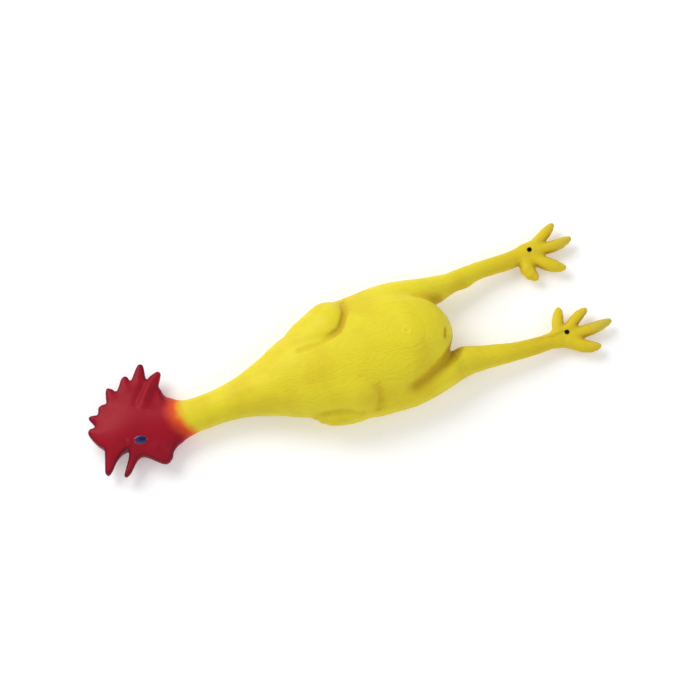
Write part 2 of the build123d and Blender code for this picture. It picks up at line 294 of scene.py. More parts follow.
def lobe(front, front_radius, rear, rear_radius, roll, squash):
    """A flattened teardrop lying on the body, its narrow end towards the head."""
    front, rear = np.array(front, float), np.array(rear, float)
    length = np.linalg.norm(rear - front)
    along = (rear - front) / length
    side = np.cross((0, 0, 1), along)
    side /= np.linalg.norm(side)
    up = np.cross(along, side)
    c, s = math.cos(math.radians(roll)), math.sin(math.radians(roll))
    side, up = c * side + s * up, (c * up - s * side) / squash
    big = max(front_radius, rear_radius)

    def distance(x, y, z):
        x, y, z = x - front[0], y - front[1], z - front[2]
        u, v, w = (x * axis[0] + y * axis[1] + z * axis[2] for axis in (along, side, up))
        gap, share = to_segment(u, v, w, (0, 0, 0), (length, 0, 0))
        return (gap - (front_radius + (rear_radius - front_radius) * share)) * squash
    return np.minimum(front, rear) - big, np.maximum(front, rear) + big, distance

# %% Tubes
def through(values, at, x):
    """A smooth curve through given values."""
    slope = np.gradient(values, at)
    i = np.clip(np.searchsorted(at, x) - 1, 0, len(at) - 2)
    step = at[i + 1] - at[i]
    t = np.clip((x - at[i]) / step, 0, 1)
    return ((2 * t ** 3 - 3 * t ** 2 + 1) * values[i] + (t ** 3 - 2 * t ** 2 + t) * step * slope[i]
            + (3 * t ** 2 - 2 * t ** 3) * values[i + 1] + (t ** 3 - t ** 2) * step * slope[i + 1])


def tube(stations):
    """A limb along X through upright ovals: (x, centre y, centre z, half width, half height)."""
    at, cy, cz, hw, hh = np.array(stations, float).T
    low = np.array([at[0], (cy - hw).min(), (cz - hh).min()])
    high = np.array([at[-1], (cy + hw).max(), (cz + hh).max()])

    def distance(x, y, z):
        line = np.clip(x[:, 0, 0], at[0], at[-1])
        y0, z0, w, h = (through(values, at, line)[:, None, None].astype(np.float32)
                        for values in (cy, cz, hw, hh))
        past_end = np.maximum(np.maximum(at[0] - x, x - at[-1]), 0)
        u, v = (y - y0) / w, (z - z0) / h
        k0 = np.sqrt(u ** 2 + v ** 2)
        k1 = np.sqrt((u / w) ** 2 + (v / h) ** 2)
        side = k0 * (k0 - 1) / np.maximum(k1, 1e-6)
        lean = np.gradient(w[:, 0, 0], line + 1e-4 * np.arange(len(line)))[:, None, None]
        side = side / np.sqrt(1 + np.clip(lean, -3, 3) ** 2)
        return np.where(past_end > 0, np.hypot(np.maximum(side, 0), past_end), side)
    return low, high, distance

# %% Fins
THICKEST_FIN = 14.0
TRIM_MARGIN, TRIM_RUN, TRIM_TOP = 8, 12.0, 40       # how far the trimming reaches round the outline
TRIM_FADE = 0.9                                     # it lets go by this much for every mm past its last X


def rounded(corners, steps=6):
    """A closed outline that runs smoothly through the corners."""
    points = np.asarray(corners, float)
    before, after, next_after = np.roll(points, 1, 0), np.roll(points, -1, 0), np.roll(points, -2, 0)
    pieces = []
    for t in np.arange(steps) / steps:
        pieces.append(((-t + 2) * t - 1) * t / 2 * before + ((3 * t - 5) * t * t + 2) / 2 * points
                      + ((-3 * t + 4) * t + 1) * t / 2 * after + (t - 1) * t * t / 2 * next_after)
    return np.stack(pieces, 1).reshape(-1, 2)


def outline_distance(outline, x, y):
    """Distance to a closed outline, negative inside."""
    nearest = np.full(np.broadcast(x, y).shape, 1e9)
    inside = np.zeros(nearest.shape, bool)
    for (x0, y0), (x1, y1) in zip(outline, np.roll(outline, -1, 0)):
        rx, ry = x1 - x0, y1 - y0
        t = np.clip(((x - x0) * rx + (y - y0) * ry) / max(rx * rx + ry * ry, 1e-9), 0, 1)
        nearest = np.minimum(nearest, (x - x0 - t * rx) ** 2 + (y - y0 - t * ry) ** 2)
        inside ^= ((y0 > y) != (y1 > y)) & (x < rx * (y - y0) / (ry if ry else 1e-9) + x0)
    return np.where(inside, -1, 1) * np.sqrt(nearest)


def plate(outline, middle, half_thickness, swell, reach, rim):
    """A fin with a rounded rim, which swells by so much towards its middle."""
    low = np.array([*outline.min(0), middle - THICKEST_FIN])
    high = np.array([*outline.max(0), middle + THICKEST_FIN])

    def distance(x, y, z):
        edge = outline_distance(outline, x[:, :, 0], y[:, :, 0])[:, :, None]
        along = edge + rim
        across = np.abs(z - middle) - half_thickness + rim - swell * (1 - np.exp(np.minimum(edge, 0) / reach))
        return (np.hypot(np.maximum(along, 0), np.maximum(across, 0))
                + np.minimum(np.maximum(along, across), 0) - rim).astype(np.float32)
    return low, high, distance


def beyond(outline, last_x):
    """Everything outside an outline, fading out past an X, to trim the clay to it."""
    low = np.array([*outline.min(0) - TRIM_MARGIN, 0.0])
    high = np.array([last_x + TRIM_RUN, outline[:, 1].max() + TRIM_MARGIN, TRIM_TOP])

    def distance(x, y, z):
        edge = -outline_distance(outline, x[:, :, 0], y[:, :, 0])[:, :, None]
        return (edge + TRIM_FADE * np.maximum(x - last_x, 0)).astype(np.float32)
    return low, high, distance

# %% [markdown]
# ## Trunk, legs and wings
# The trunk is a plump tube that narrows into the long neck, and the thighs start beside it and taper down to the
# shanks. All three come from stations: at each, the centre, the half width and the half height of the oval.

# %% Trunk and neck
CELL = 0.8
BLOCK_LOW, BLOCK_HIGH = (-240, -69, -4), (240, 69, 64)
clay = Clay(BLOCK_LOW, BLOCK_HIGH, CELL)

TRUNK = [
    (-204, 6.0, 14.0, 5.0, 3.0), (-188, 6.0, 14.0, 12.0, 7.5), (-172, 5.4, 14.2, 17.4, 11.4),
    (-160, 4.6, 14.4, 18.3, 13.5),
    (-150, 3.7, 14.6, 16.7, 13.8), (-140, 3.3, 15.0, 15.1, 14.0), (-130, 3.1, 15.4, 15.0, 14.2),
    (-120, 3.1, 16.0, 15.0, 14.6), (-110, 3.1, 17.2, 16.0, 15.4), (-100, 3.0, 18.6, 17.5, 16.5),
    (-90, 2.6, 20.3, 20.0, 18.4), (-80, 2.2, 22.0, 23.6, 20.7), (-70, 1.8, 23.7, 27.3, 22.9),
    (-60, 1.5, 25.2, 32.0, 24.9), (-50, 1.0, 26.4, 36.2, 26.5), (-40, 0.4, 27.2, 39.0, 27.6),
    (-25, -0.3, 27.9, 41.5, 28.6), (-5, -0.8, 28.2, 44.5, 29.0), (15, -1.0, 28.4, 48.5, 29.4),
    (35, -1.0, 28.6, 48.5, 29.6), (52, -1.0, 28.6, 46.0, 29.6), (65, -1.0, 28.8, 41.0, 28.8),
    (76, -0.9, 29.0, 32.5, 24.0),
]
clay.add(tube(TRUNK))
clay.add(ellipsoid((60, -1, 28.8), (37.2, 40.0, 28.6)), 3)        # the round end of the belly
print("clay block:", clay.field.shape, "cells of", CELL, "mm")

# %% Legs
LEFT_LEG = [
    (-8, 34, 25, 13, 13), (10, 38.2, 23.5, 15.8, 15.5), (26, 39.2, 22.3, 15.8, 16.3), (45, 40.3, 21.5, 15.8, 16.8),
    (60, 39.5, 21.5, 15.4, 16.6), (80, 36.6, 21.3, 14.2, 15.4), (92, 35.2, 20.8, 13.0, 14.0),
    (100, 35.2, 20.2, 11.9, 12.6), (110, 36.2, 19.0, 9.6, 10.8), (120, 37.3, 17.8, 8.9, 9.8),
    (130, 38.4, 16.6, 8.4, 9.0), (140, 39.4, 15.2, 7.8, 8.4), (155, 39.4, 13.4, 7.7, 7.8),
    (168, 39.3, 11.8, 7.8, 7.2), (178, 40.2, 10.4, 7.6, 6.0), (186, 41, 9.6, 7.0, 5.0),
]
RIGHT_LEG = [
    (-8, -37, 25, 13, 13), (10, -40.2, 23.5, 16.0, 15.5), (26, -41.4, 22.3, 16.0, 16.3),
    (45, -42.7, 21.5, 15.8, 16.8), (60, -41.7, 21.5, 15.4, 16.6), (80, -38.6, 21.3, 14.4, 15.4),
    (92, -36.2, 20.8, 13.6, 14.2), (100, -35.2, 20.2, 13.2, 13.0), (110, -36.3, 19.0, 11.8, 11.4),
    (120, -37.8, 17.8, 10.4, 10.2), (130, -39.1, 16.6, 9.6, 9.4), (140, -40.6, 15.2, 8.6, 8.7),
    (155, -42.0, 13.4, 7.8, 8.0), (168, -42.5, 11.8, 7.3, 7.3), (178, -42.2, 10.6, 7.2, 6.2),
    (186, -42, 9.8, 7.0, 5.2),
]
clay.add(tube(LEFT_LEG), 8.0)
clay.add(tube(RIGHT_LEG), 4.5)
clay.add(ellipsoid((124.5, 31.8, 17.0), (7.5, 3.4, 5.0)), 3)      # the left hock's knuckle
clay.add(ellipsoid((80, -0.8, 27), (16.5, 18.5, 15)), 6)          # the rump between the thighs

# %% Wings
WINGS = {       # for each wing its shapes, each with the fillet that joins it on
    "left_wing": [(lobe((-35, 27.5, 40.5), 13.5, (-7, 33.5, 41.5), 19.4, -28, 0.62), 1.2),
                  (lobe((-26, 34, 31.0), 12.5, (-4, 38, 33.0), 17.0, -50, 0.85), 8)],
    "right_wing": [(lobe((-44, -19, 38.0), 9.0, (-3, -35.0, 38.5), 17.0, 36, 0.60), 7.0),
                   (limb([(-38, -35.5, 25), (-33, -38.4, 24.5), (-27, -40.4, 24), (-20, -42.0, 24),
                          (-12, -43.4, 24), (-5, -44.0, 24), (1, -43.6, 24.5), (6, -42, 26)],
                         [6.5, 8.8, 10.4, 11.1, 11.4, 11.3, 10.6, 9.0]), 4.0)],
}
for shapes in WINGS.values():
    for shape, fillet in shapes:
        clay.add(shape, fillet)

# %% [markdown]
# ## Feet
# Each foot is a flat palm with four soft toes, splayed where the mould left them. The toes differ in length, so
# each is a bent bar of its own. The palm has a small moulded hole, which the toy hangs by.

# %% Palms, toes and hang holes
PALMS, PALM_RADII = [(190, 40.5, 9.8), (191, -42.5, 9.8)], (14, 9.5, 5.8)
TOE_HEIGHT = 9.5
HANG_HOLES = [(190, 41.7), (193.7, -40.7)]
HOLE_RADIUS = 1.8
TOES = [        # for each toe its path from the palm, and its radius at each point
    ([(193, 44), (204, 49.5), (210.5, 53), (214.5, 55.4), (217, 57)], [4.6, 5.0, 4.8, 3.9, 2.7]),
    ([(198, 39.5), (211, 38.7), (219, 39), (224, 39.7), (227, 40.2)], [5.0, 5.3, 4.9, 3.9, 2.6]),
    ([(192, 33), (201, 25.2), (206.5, 21), (210.5, 18.4), (213, 17.2)], [5.4, 6.2, 5.6, 4.2, 2.8]),
    ([(184, 35), (182.8, 27), (184, 22), (185.8, 18.6), (186.8, 17)], [6.0, 6.6, 5.8, 4.4, 3.0]),
    ([(187, -37), (190, -28), (192.3, -23), (194, -19.6), (194.6, -18)], [5.0, 5.3, 4.8, 3.8, 2.7]),
    ([(197, -37), (205, -31.4), (210.5, -28.4), (214.4, -26.9), (216.4, -26.3)], [4.8, 4.9, 4.5, 3.6, 2.6]),
    ([(202, -44), (216, -44.2), (225, -43.8), (230.4, -43.3), (233, -43)], [5.6, 5.5, 4.8, 3.6, 2.6]),
    ([(194, -49), (203, -56.0), (209.5, -59.4), (213.6, -60.6), (216, -61)], [6.0, 6.0, 5.2, 3.9, 2.7]),
]
for palm in PALMS:
    clay.add(ellipsoid(palm, PALM_RADII), 4)
for points, radii in TOES:
    clay.add(limb([(*p, TOE_HEIGHT) for p in points], radii), 3.0)
print(len(TOES), "toes")

# %% [markdown]
# ## Head
# The mould parts along the middle of the head, so comb, beak and wattle are all fins in one upright plane, here
# laid flat. One outline carries every point of the comb and both halves of the beak, and the skull and cheeks
# swell out of it.

# %% Comb, beak and skull
MID = 14.0      # height of the mould's parting plane
PROFILE = rounded([
    (-152, 12), (-156, 21.0), (-161, 24.5), (-161.3, 30), (-160.6, 35), (-161.0, 39.5), (-157.5, 45.5),
    (-155.6, 49.6), (-158, 52.2), (-164, 50.9), (-168.6, 48.8), (-169.2, 51.5), (-168.2, 57), (-167.9, 62),
    (-170.6, 64), (-174.2, 62.4), (-179, 56.8), (-182.6, 53.2), (-183.6, 56.5), (-186.4, 58.6), (-190.5, 56.8),
    (-194.5, 51.5), (-197.8, 48.4), (-200.4, 51.5), (-204.6, 53.6), (-207.2, 50.5), (-208.8, 45.5), (-210.2, 41),
    (-214, 41), (-218, 39.2), (-220.3, 34.2), (-224, 34.6), (-228, 34.6), (-229.3, 32), (-227.2, 26.5),
    (-227.0, 23.9), (-231.5, 23.8), (-234.2, 20.5), (-233, 14.5), (-229, 6.5), (-225.6, 1.5), (-226.8, -4),
    (-229.6, -12), (-231.6, -18.5), (-229.6, -22), (-225, -19.6), (-218.5, -12.8), (-212.5, -8), (-207, -6.2),
    (-205.8, -8), (-207.2, -12), (-212, -19), (-216.8, -26.2), (-215.2, -28.7), (-210, -26.6), (-204, -20.8),
    (-199.5, -17), (-195.5, -16.2), (-191.5, -18.6), (-186, -24.2), (-181, -28.2), (-177, -29.4), (-173.2, -27.6),
    (-169, -21.5), (-164, -16.2), (-159, -13), (-152, -4),
])
clay.add(ellipsoid((-184, 10, MID), (32, 26, 11.4)), 9)
clay.add(ellipsoid((-206, 9, MID), (23, 17, 9.6)), 10)
clay.add(plate(PROFILE, MID, 3.2, 3.8, 9.0, 2.4), 8)
clay.add(finger((-219, 2, MID), 7.0, (-229, -18.5, MID), 3.0), 2)           # upper beak
clay.add(finger((-203, -11, MID), 4.8, (-214.6, -26.2, MID), 2.4), 2)       # lower beak
clay.add(finger((-181, -14, MID), 9.5, (-177.5, -24, MID), 5.0), 5)         # wattle
for side in (1, -1):                                                        # ear fold and nostril on each face
    clay.add(finger((-179, 27, MID + side * 7.4), 3.4, (-168, 41, MID + side * 5.0), 2.6), 5)
    clay.press(clay.laid([(-185.5, 30.5, MID + side * 9), (-176.5, 42, MID + side * 8)]), 3.4, 0.9)
    clay.carve(finger((-170.5, 27.5, MID + side * 13.2), 4.4, (-163.5, 37, MID + side * 7.6), 2.4), 6)
    nostril = clay.laid([(-203.6, -3.2, MID + side * 9), (-202.8, -0.6, MID + side * 9)])
    clay.add(limb(nostril, [1.5] * len(nostril)), 2.0)
clay.carve(beyond(PROFILE, -173), 2.0)                                      # keeps the gap of the beak open
print("head outline:", len(PROFILE), "points")

# %% [markdown]
# ## Creases
# Latex shrinks onto its mould, and the toy keeps a crease where a wing or a thigh meets the body. Each crease is a
# path of a few points dropped onto the skin, with the clay pushed in along it. Behind each wing the mould has a row
# of short ticks, like gathered skin, and the rump has a small slit. The back is flattened, because the toy lies on
# it.

# %% Flat underside
SOFT_EDGE = 2.0
LOWEST = -1.5                                       # nothing is left below this height, in mm
OUTSIDE = 5                                         # a distance that is safely outside the skin
height = clay.ticks[2][None, None, :]
clay.field = -smooth_min(-clay.field, height, SOFT_EDGE)
clay.field = np.where(height < LOWEST, OUTSIDE, clay.field).astype(np.float32)
print("clay left above", round(float(clay.ticks[2][(clay.field < 0).any((0, 1))].min()), 1), "mm")

# %% Creases and ticks
CREASES = [     # path, width, depth
    ([(-36, 15, 48), (-16.6, 14.5, 52), (3, 20.3, 50), (13.4, 34.5, 44), (15, 46, 36)], 2.4, 1.6),
    ([(12, -32, 44), (15.8, -35.8, 42), (14.5, -43, 37), (10, -49.9, 32)], 2.2, 0.5),
    ([(-34, -38, 30), (-24, -41.5, 31), (-14, -43.5, 31.5), (-2, -45, 31)], 3.0, 0.7),
    ([(47, -43.5, 34), (66.7, -36.3, 34), (80, -28, 32), (88, -21.9, 30)], 6.5, 4.4),
    ([(76, 29, 38), (83, 25, 35), (89, 21, 30)], 3.4, 0.8),
    ([(77, 19.5, 45), (82, 13, 46), (84, 7, 46)], 2.6, 0.4),
    ([(80, -18, 42), (86, -14, 40)], 2.6, 0.4),
]
GATHERS = [     # behind each wing: a path, and how many ticks lie along it
    ([(14.5, 34, 44), (16, 42, 40), (16, 49, 33)], 9),
    ([(15.5, -32, 43), (16.2, -38, 40), (14.2, -44.5, 36), (11, -50, 31)], 12),
]
TICK_LENGTH, TICK_LEAN, TICK_WIDTH, TICK_DEPTH = (2.5, 5.5), (-0.3, 0.3), 0.85, 0.7
VENT, VENT_RADIUS = [(86.6, -6.8, 41), (84.4, -12.6, 42)], 1.1      # the slit in the rump
for path, width, depth in CREASES:
    clay.press(clay.laid(path), width, depth)
chance = np.random.default_rng(7)
for path, count in GATHERS:
    line = clay.laid(path, 0.5)
    for spot in line[np.linspace(0, len(line) - 1, count).astype(int)]:
        length, lean = chance.uniform(*TICK_LENGTH), chance.uniform(*TICK_LEAN)
        clay.press(clay.laid([spot, spot + length * np.array([1, lean, 0])]), TICK_WIDTH, TICK_DEPTH)
vent_path = clay.laid(VENT)
clay.carve(limb(vent_path, [VENT_RADIUS] * len(vent_path)), 0.8)
for x, y in HANG_HOLES:                                             # narrower underneath
    clay.carve(finger((x, y, -4), 0.1 * HOLE_RADIUS, (x, y, 30), 1.8 * HOLE_RADIUS), 0.8)
print(len(CREASES), "creases,", sum(count for _, count in GATHERS), "ticks")

# %% [markdown]
# ## From clay to skin
# Blender can't show a block of distances, so a mesh is wrapped round the places where the distance is zero. Each
# cell that the skin passes through gets one vertex, each grid edge that it crosses gets one four-sided face, and the
# vertices then slide exactly onto the skin. Four-sided faces of one size bend and shade well.

# %% Wrapping a mesh round the clay
CORNERS = np.array(list(np.ndindex(2, 2, 2)))       # of one cell
EDGES = [(a, b) for a in range(8) for b in range(a + 1, 8) if abs(CORNERS[a] - CORNERS[b]).sum() == 1]


def wrap(field, low, cell):
    """Vertices and four-sided faces round the negative part of a field, faces outward."""
    solid = (field < 0).astype(np.int8)
    nx, ny, nz = (n - 1 for n in field.shape)
    filled = sum(solid[i:nx + i, j:ny + j, k:nz + k] for i, j, k in CORNERS)
    mixed = (filled > 0) & (filled < len(CORNERS))
    cells = np.argwhere(mixed)
    number = np.full(mixed.shape, -1)
    number[mixed] = np.arange(len(cells))
    values = np.stack([field[tuple((cells + corner).T)] for corner in CORNERS], 1)
    place, crossings = np.zeros((len(cells), 3)), np.zeros((len(cells), 1))
    for a, b in EDGES:
        crosses = ((values[:, a] < 0) != (values[:, b] < 0))[:, None]
        share = (values[:, a] / np.where(crosses[:, 0], values[:, a] - values[:, b], 1))[:, None]
        place += np.where(crosses, CORNERS[a] + share * (CORNERS[b] - CORNERS[a]), 0)
        crossings += crosses
    faces = []
    for axis in range(3):
        u, v = np.eye(3, dtype=int)[[(axis + 1) % 3, (axis + 2) % 3]]
        change = np.diff(solid, axis=axis)
        for direction in (-1, 1):
            edges = np.argwhere(change == direction)
            edges = edges[(edges @ u > 0) & (edges @ v > 0)]
            edges = edges[(edges < mixed.shape).all(1)]
            ring = [edges - u - v, edges - v, edges, edges - u][::-direction]
            faces.append(np.stack([number[tuple(spot.T)] for spot in ring], 1))
    return (cells + place / crossings) * cell + low, np.vstack(faces)

# %% The whole skin in one mesh
skin, quads = wrap(clay.field, clay.low, CELL)
skin = clay.settle(skin, 3, 0.3)
print("skin:", len(skin), "vertices,", 2 * len(quads), "triangles")

# %% [markdown]
# ## Fine relief
# The mould's own surface shows too: a groove where the squeaker's patch was glued in, a small ring round the sound
# hole, and faint lengthwise wrinkles over the body, where the toy has been rolled and squeezed. They are lower than
# a clay cell, so they are made by moving the finished vertices along their normals.

# %% Normals
def face_normals(points, faces):
    a, b, c, d = (points[faces[:, k]] for k in range(4))
    return np.cross(c - a, d - b)


def vertex_normals(points, faces):
    total = np.zeros_like(points)
    across = face_normals(points, faces)
    for k in range(4):
        for axis in range(3):
            total[:, axis] += np.bincount(faces[:, k], across[:, axis], len(points))
    return total / np.maximum(np.linalg.norm(total, axis=1, keepdims=True), 1e-9)


def fade(value, start, end):
    """0 before start, 1 after end, smooth between."""
    t = np.clip((value - start) / (end - start), 0, 1)
    return t * t * (3 - 2 * t)

# %% Wrinkles, patch ring and sound hole
PATCH_CENTRE, PATCH_RADIUS = (57.4, -0.8), 16.0
PATCH_RISE, GROOVE_DEPTH, GROOVE_WIDTH = 0.08, 0.24, 0.8
RING_RADIUS, RING_RISE, RING_WIDTH = 3.4, 0.35, 0.8
SOUND_HOLE_DEPTH, SOUND_HOLE_WIDTH = 0.5, 1.2
WRINKLE_DEPTH, WRINKLE_ON_TOP = 0.13, 0.35          # in mm, and the share of it that is left on the belly
LEG_Y, LEG_HEIGHT, LEG_RADIUS = (38, -39), 17, 12   # rough sizes, to lay the wrinkles round each limb
BODY_HEIGHT, BODY_RADIUS = 18, 40

normal = vertex_normals(skin, quads)
x, y, z = skin.T
across_leg = np.where(y > 0, y - LEG_Y[0], y - LEG_Y[1])
on_leg = fade(x, 84, 100) * (np.abs(y) > 14)
around = np.where(on_leg > 0.5, np.arctan2(across_leg, z - LEG_HEIGHT) * LEG_RADIUS,
                  np.arctan2(y, z - BODY_HEIGHT) * BODY_RADIUS)
wander = 1.6 * np.sin(x / 13 + 0.3 * around) + 1.1 * np.sin(x / 6.1 + around / 5 + 2)
lines = np.sin((around + wander) * 1.9) * np.sin(x / 9 + around * 0.9 + 1.3 * np.sin(x / 17))
plain_zones = np.maximum(fade(-x, 120, 150), fade(x, 176, 186))
wing_depth = {name: np.min([shape[2](x, y, z) for shape, _ in shapes], 0) for name, shapes in WINGS.items()}
on_wing = 1 - fade(np.minimum(*wing_depth.values()), 0.4, 4.0)
flank = fade(np.abs(y + 1), 8, 26)
depth = WRINKLE_DEPTH * (WRINKLE_ON_TOP + (1 - WRINKLE_ON_TOP) * flank)
relief = depth * (1 - plain_zones) * (1 - 0.8 * on_wing) * lines
off_patch = np.hypot(x - PATCH_CENTRE[0], y - PATCH_CENTRE[1])
upward = fade(normal[:, 2], 0.4, 0.7) * (z > 40)
relief += upward * (PATCH_RISE * fade(PATCH_RADIUS - off_patch, -0.6, 0.6)
                    - GROOVE_DEPTH * np.exp(-((off_patch - PATCH_RADIUS) / GROOVE_WIDTH) ** 2)
                    + RING_RISE * np.exp(-((off_patch - RING_RADIUS) / RING_WIDTH) ** 2)
                    - SOUND_HOLE_DEPTH * np.exp(-(off_patch / SOUND_HOLE_WIDTH) ** 2))
skin += relief[:, None] * normal
normal = vertex_normals(skin, quads)
print("relief from", round(relief.min(), 2), "to", round(relief.max(), 2), "mm")

# %% [markdown]
# ## Marks that the finishes read
# Some finishes follow the shape: creases, the vent slit and the hang holes get painted shade, a deeper colour where
# less light reaches, and the red paint is thicker and darker on the fins' rims. Such places can't be told from
# coordinates, so each vertex carries them as attributes. Each vertex also keeps its place at rest, so that the paint
# stays on the rubber when the toy bends.

# %% Attributes
FOLD_SHADE_REACHES = [(5.0, 0.9), (12.0, 0.6)]           # how far to look out from the skin, and how strong the painted shade is: narrow, wide
RIM_START, RIM_END = -3.2, -1.2             # the rim's paint builds up between these distances from the fin's edge
# painted shade in folds: the less open air lies just off the skin, the stronger the mark
crease = np.zeros(len(skin))
for reach, strength in FOLD_SHADE_REACHES:               # in a fold, open air is less far off than the reach
    spot = skin + reach * normal
    open_air = np.where(spot[:, 2] < clay.ticks[2][-1], clay.at(spot)[0], reach)
    crease = np.maximum(crease, strength * (1 - fade(np.clip(open_air, 0, reach) / reach, 0.35, 0.95)))
# extra painted shade along the fold beside the right thigh and inside the vent slit
thigh_fold_shade_path = clay.laid([(50, -43.5, 34), (66.7, -36.3, 34), (80, -28, 32), (88, -21.9, 30)])
for path, strength, width in ((thigh_fold_shade_path, 0.75, 6.0), (vent_path, 1.0, 1.8)):
    gap = np.min([to_segment(x, y, z, a, b)[0] for a, b in zip(path[:-1], path[1:])], 0)
    crease = np.maximum(crease, strength * np.exp(-(gap / width) ** 2))
rim_depth = outline_distance(PROFILE, x, y)
rim = fade(rim_depth, RIM_START, RIM_END) * fade(-x, 158, 165) * (0.55 + 0.45 * fade(normal[:, 1], -0.5, 0.2))
# painted shade: the inside of each hang hole is marked to be coloured dark, as if no light reached it
hole = np.max([fade(-np.hypot(x - hx, y - hy), -2.5, -1.9) for hx, hy in HANG_HOLES], 0)
MARKS = {"crease": crease, "rim": rim, "hole": hole}
flow = np.stack([x * 0.16, around + wander, on_leg * 50], 1)      # lengthwise, across, which limb
print("deepest crease mark", round(float(crease.max()), 2))

# %% [markdown]
# ## Dividing the skin at its bends
# The real skin is one piece, and it bends wherever the rubber is thin. Here it is divided into zones, and the cuts
# lie between bends. Each zone is a closed shell with an outer wall, an inner wall and rims, as the latex is.

# %% Zones
WALL = 1.3                                  # the latex's thickness in mm
WING_START, WING_END = -46, 16
centre = skin[quads].mean(1)
cx, cy, cz = centre.T
zone = np.full(len(quads), "torso_skin", object)
for name, shapes in WINGS.items():
    inside_wing = np.min([shape[2](cx, cy, cz) for shape, _ in shapes], 0) < 0.5
    own_side = np.sign(cy) == (1 if name == "left_wing" else -1)
    zone[inside_wing & own_side & (cx > WING_START) & (cx < WING_END)] = name

TILT = np.array([0.2, 0, 0.98])             # the way the belly is pressed in
BELLY_START, BELLY_END = 54.5, 64.5         # the latex bends between these heights along it
zone[centre @ TILT > BELLY_START] = "belly_skin"
patch = (np.hypot(cx - PATCH_CENTRE[0], cy - PATCH_CENTRE[1]) < PATCH_RADIUS) & (cz > 45)
zone[patch] = "closing_patch"

NECK_CUTS = [(-54, "neck_root"), (-88, "neck_middle"), (-117.5, "neck_top"), (-141.5, "head_skin")]
for cut, name in NECK_CUTS:
    zone[cx < cut] = name
LEG_CUTS = [(97.5, "thigh"), (115.5, "shank"), (148, "foot")]
for cut, name in LEG_CUTS:
    zone[(cx > cut) & (cy > 0)] = "left_" + name
    zone[(cx > cut) & (cy < 0)] = "right_" + name

COMB_ROOT, COMB_UP = np.array([-226, 11, MID]), np.array([-0.268, 0.963, 0])
zone[((centre - COMB_ROOT) @ COMB_UP > 0) & (cx < -152)] = "comb"
JAW = np.array([-203, -12, MID])
JAW_ALONG, JAW_ACROSS = np.array([-0.607, -0.795, 0]), np.array([-0.795, 0.607, 0])
from_jaw = centre - JAW
zone[(from_jaw @ JAW_ALONG > 1) & (from_jaw @ JAW_ACROSS < 8) & (cx < -196) & (cy < -10)] = "lower_beak"
zone[(cy < -14.5) & (cx > -196) & (cx < -160)] = "wattle"
print({name: 2 * int((zone == name).sum()) for name in sorted(set(zone))})

# %% Building a piece
def piece(name, points, faces, material, normals=None, marks=None):
    """A mesh object in metres at the origin, from points in millimetres."""
    mesh = bpy.data.meshes.new(name)
    mesh.vertices.add(len(points))
    mesh.vertices.foreach_set("co", (points * MM).astype(np.float32).ravel())
    mesh.loops.add(faces.size)
    mesh.loops.foreach_set("vertex_index", faces.astype(np.int32).ravel())
    mesh.polygons.add(len(faces))
    mesh.polygons.foreach_set("loop_start", np.arange(0, faces.size, faces.shape[1], dtype=np.int32))
    mesh.update(calc_edges=True)
    mesh.polygons.foreach_set("use_smooth", np.ones(len(faces), bool))
    for key, values in (marks or {}).items():
        kind = "FLOAT" if values.ndim == 1 else "FLOAT_VECTOR"
        attribute = mesh.attributes.new(key, kind, "POINT")
        attribute.data.foreach_set("value" if values.ndim == 1 else "vector", values.astype(np.float32).ravel())
    if normals is not None:
        mesh.normals_split_custom_set_from_vertices(normals)
    mesh.materials.append(material)
    made = bpy.data.objects.new(name, mesh)
    scene.collection.objects.link(made)
    return made


def shell(name, material):
    """One zone of the skin: its outer wall, an inner wall, and a rim wherever it was cut."""
    used, faces = np.unique(quads[zone == name], return_inverse=True)
    faces = faces.reshape(-1, 4)
    count = len(used)
    a, b = faces.ravel(), np.roll(faces, -1, 1).ravel()
    open_edge = ~np.isin(a * count + b, b * count + a)
    a, b = a[open_edge], b[open_edge]
    points = np.vstack([skin[used], skin[used] - WALL * normal[used]])
    faces = np.vstack([faces, faces[:, ::-1] + count, np.stack([b, a, a + count, b + count], 1)])
    marks = {key: np.tile(values[used], 2) for key, values in MARKS.items()}
    marks["flow"] = np.tile(flow[used], (2, 1))
    marks["rest"] = np.tile(skin[used] * MM, (2, 1))
    return piece(name + "_latex", points, faces, material, np.vstack([normal[used], -normal[used]]), marks)

# %% [markdown]
# ## Latex and paint
# The latex is dyed yellow all through and has a satin skin. The head is dipped and sprayed red, and the spray fades
# out over the top of the neck. One set of nodes makes every skin finish, because the colours run across the cuts:
# yellow to begin with, warmer on the legs, darker in creases and hang holes with painted shade, and red from the
# fade to the head. Fine wrinkles and pores are bump only, since they are far smaller than the mesh.

# %% Latex
# DEEP_YELLOW and DARK_RED serve both as the latex's random darker tone and as the painted shade in creases
YELLOW, DEEP_YELLOW = tint(231, 214, 47), tint(188, 140, 16)
LEG_YELLOW, TOE_GREY = tint(219, 190, 36), tint(186, 174, 110)
RED, DARK_RED = tint(158, 24, 40), tint(118, 18, 36)
RIM_PURPLE, SPRAY_ORANGE = tint(72, 16, 40), tint(228, 62, 34)
# the painted shade inside the hang holes
HOLE_SHADE_BROWN = tint(30, 16, 8)


def blend_colour(material, share, a, b):
    """From colour a to colour b by a share."""
    mix = node(material, "Mix", {"Factor": share}, data_type="RGBA")
    for socket, value in ((mix.inputs[6], a), (mix.inputs[7], b)):
        if isinstance(value, bpy.types.NodeSocket):
            material.node_tree.links.new(value, socket)
        else:
            socket.default_value = value
    return mix.outputs[2]


def ramp(material, value, start, end, low=0.0, high=1.0):
    """From low to high while a value goes from start to end, smoothly."""
    sockets = {"Value": value, "From Min": start, "From Max": end, "To Min": low, "To Max": high}
    return node(material, "MapRange", sockets, interpolation_type="SMOOTHSTEP").outputs[0]


def maths(material, operation, a, b=0.0):
    return node(material, "Math", {0: a, 1: b}, operation=operation).outputs[0]


